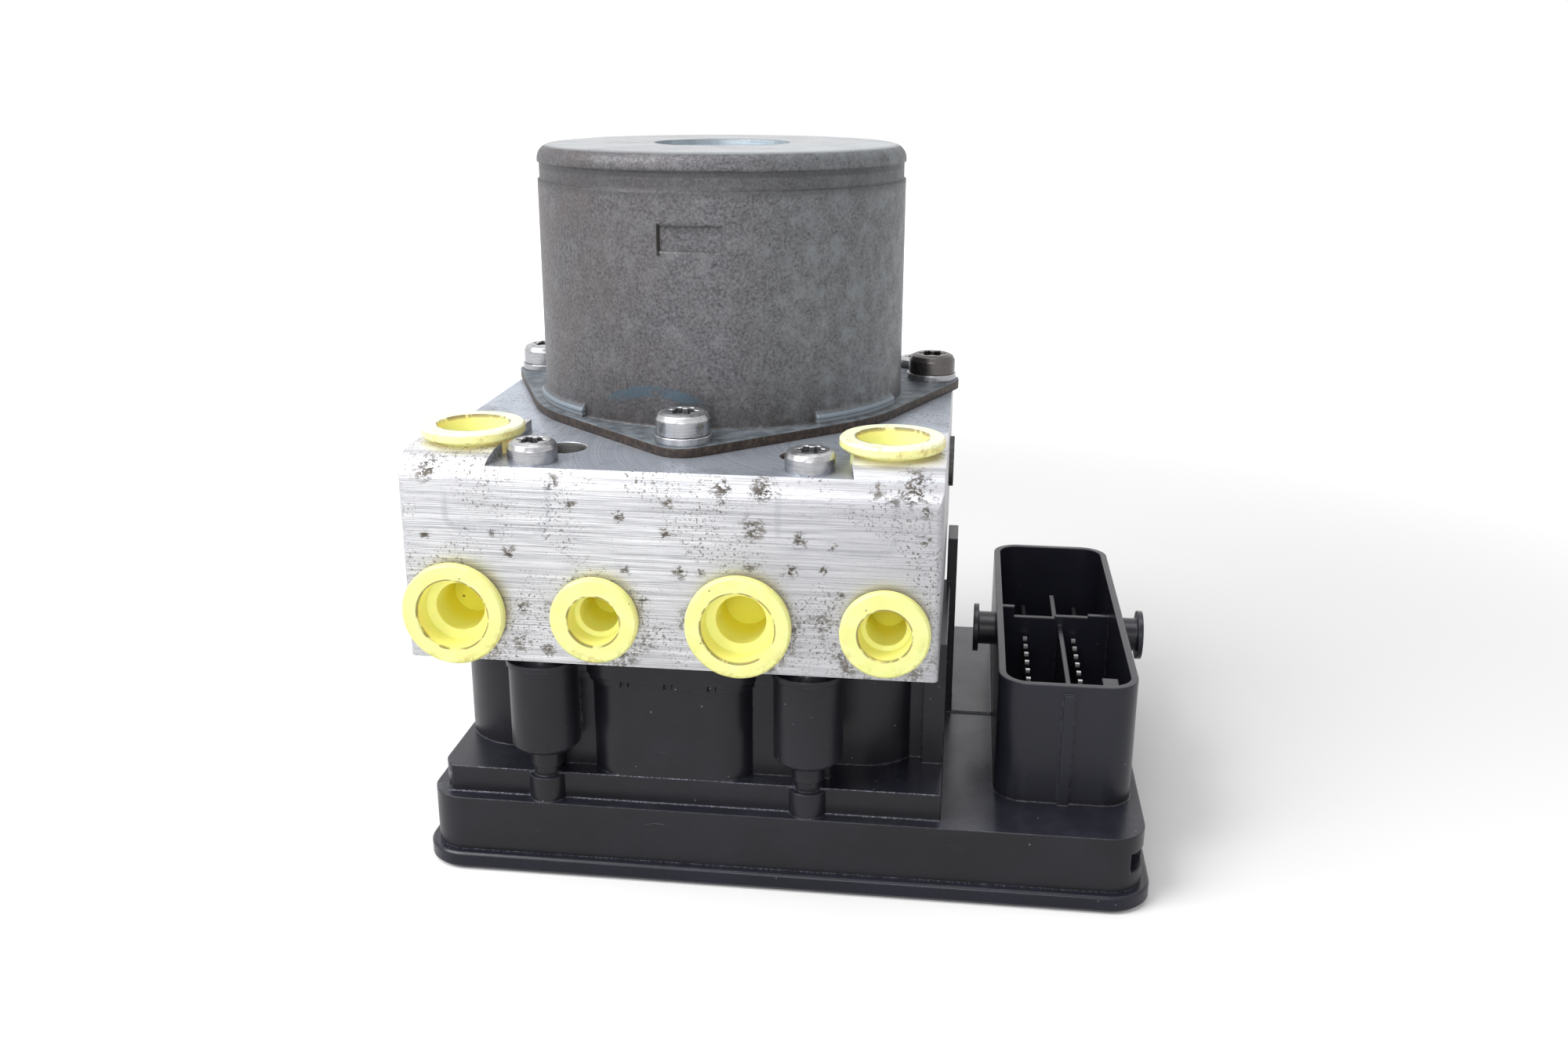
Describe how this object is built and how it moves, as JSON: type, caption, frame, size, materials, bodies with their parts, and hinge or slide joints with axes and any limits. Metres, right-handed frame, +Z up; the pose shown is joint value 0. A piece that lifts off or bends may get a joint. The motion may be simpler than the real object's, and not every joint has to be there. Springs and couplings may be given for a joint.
{
  "type": "abs brake module",
  "caption": "Hydraulic brake control unit: pump motor can on a machined aluminium valve block with plugged ports, over a black electronic housing with a connector.",
  "frame": {"origin": "pump motor axis where it meets the underside of the bottom cover", "axes": "+Z up along the motor axis, -Y towards the face with the brake ports, +X towards the connector"},
  "size_m": [0.1454, 0.1134, 0.1386],
  "materials": {
    "block_aluminium": "brushed",
    "can_steel": "dull mottled zinc",
    "plug_yellow": "soft satin",
    "screw_zinc": "satin",
    "housing_plastic": "moulded satin",
    "cover_plastic": "satin",
    "seal_rubber": "matte",
    "plate_plastic": "matte",
    "magnet_ferrite": "matte",
    "core_steel": "laminated",
    "copper": "wound wire",
    "carbon": "matte",
    "contact_brass": "satin",
    "pin_tin": "bright",
    "coil_winding": "satin",
    "board_green": "satin",
    "chip_black": "matte",
    "dark_steel": "dull",
    "machined_steel": "ground"
  },
  "bodies": {
    "module": {"valve_block": "block_aluminium", "channel_plugs": "dark_steel", "front_plug_1": "plug_yellow", "front_plug_2": "plug_yellow", "front_plug_3": "plug_yellow", "front_plug_4": "plug_yellow", "top_plug_left": "plug_yellow", "top_plug_right": "plug_yellow", "motor_can": "can_steel", "motor_end_plate": "plate_plastic", "motor_magnets": "magnet_ferrite", "brushes": "carbon", "motor_contacts": "contact_brass", "upper_bearing": "machined_steel", "lower_bearing": "machined_steel", "motor_washers": "screw_zinc", "motor_screws": "screw_zinc", "pump_sleeve_left": "machined_steel", "pump_sleeve_right": "machined_steel", "pump_spring_left": "machined_steel", "pump_spring_right": "machined_steel", "pump_plug_left": "dark_steel", "pump_plug_right": "dark_steel", "accumulator_spring_left": "machined_steel", "accumulator_spring_right": "machined_steel", "accumulator_cap_left": "machined_steel", "accumulator_cap_right": "machined_steel", "inlet_valves": "machined_steel", "outlet_valves": "machined_steel", "inlet_coils": "coil_winding", "outlet_coils": "coil_winding", "coil_terminals": "contact_brass", "pressure_sensor": "machined_steel", "ecu_housing": "housing_plastic", "ecu_cover": "cover_plastic", "housing_seal": "seal_rubber", "circuit_board": "board_green", "board_chips": "chip_black", "connector_pins": "pin_tin", "power_blades": "pin_tin", "threaded_inserts": "machined_steel", "housing_screws": "screw_zinc"},
    "rotor": {"motor_shaft": "machined_steel", "rotor_core": "core_steel", "rotor_windings": "copper", "commutator": "copper", "eccentric_ring": "machined_steel"},
    "pump_piston_left": {"pump_piston_left": "machined_steel"},
    "pump_piston_right": {"pump_piston_right": "machined_steel"},
    "accumulator_piston_left": {"accumulator_piston_left": "machined_steel"},
    "accumulator_piston_right": {"accumulator_piston_right": "machined_steel"}
  },
  "joints": [
    {"name": "rotor_spin", "type": "hinge", "parent": "module", "child": "rotor", "pos_m": [0, 0, 0.0841], "axis": [0, 0, 1], "continuous": true},
    {"name": "pump_left_stroke", "type": "slide", "parent": "module", "child": "pump_piston_left", "axis": [-1, 0, 0], "range_m": [0, 0.0016], "stiffness_N_per_m": 800, "springref_m": -0.004, "deforming": ["pump_spring_left"]},
    {"name": "pump_right_stroke", "type": "slide", "parent": "module", "child": "pump_piston_right", "axis": [1, 0, 0], "range_m": [0, 0.0016], "stiffness_N_per_m": 800, "springref_m": -0.004, "deforming": ["pump_spring_right"]},
    {"name": "accumulator_left_stroke", "type": "slide", "parent": "module", "child": "accumulator_piston_left", "axis": [0, 1, 0], "range_m": [0, 0.005], "stiffness_N_per_m": 1500, "springref_m": -0.003, "deforming": ["accumulator_spring_left"]},
    {"name": "accumulator_right_stroke", "type": "slide", "parent": "module", "child": "accumulator_piston_right", "axis": [0, 1, 0], "range_m": [0, 0.005], "stiffness_N_per_m": 1500, "springref_m": -0.003, "deforming": ["accumulator_spring_right"]}
  ]
}
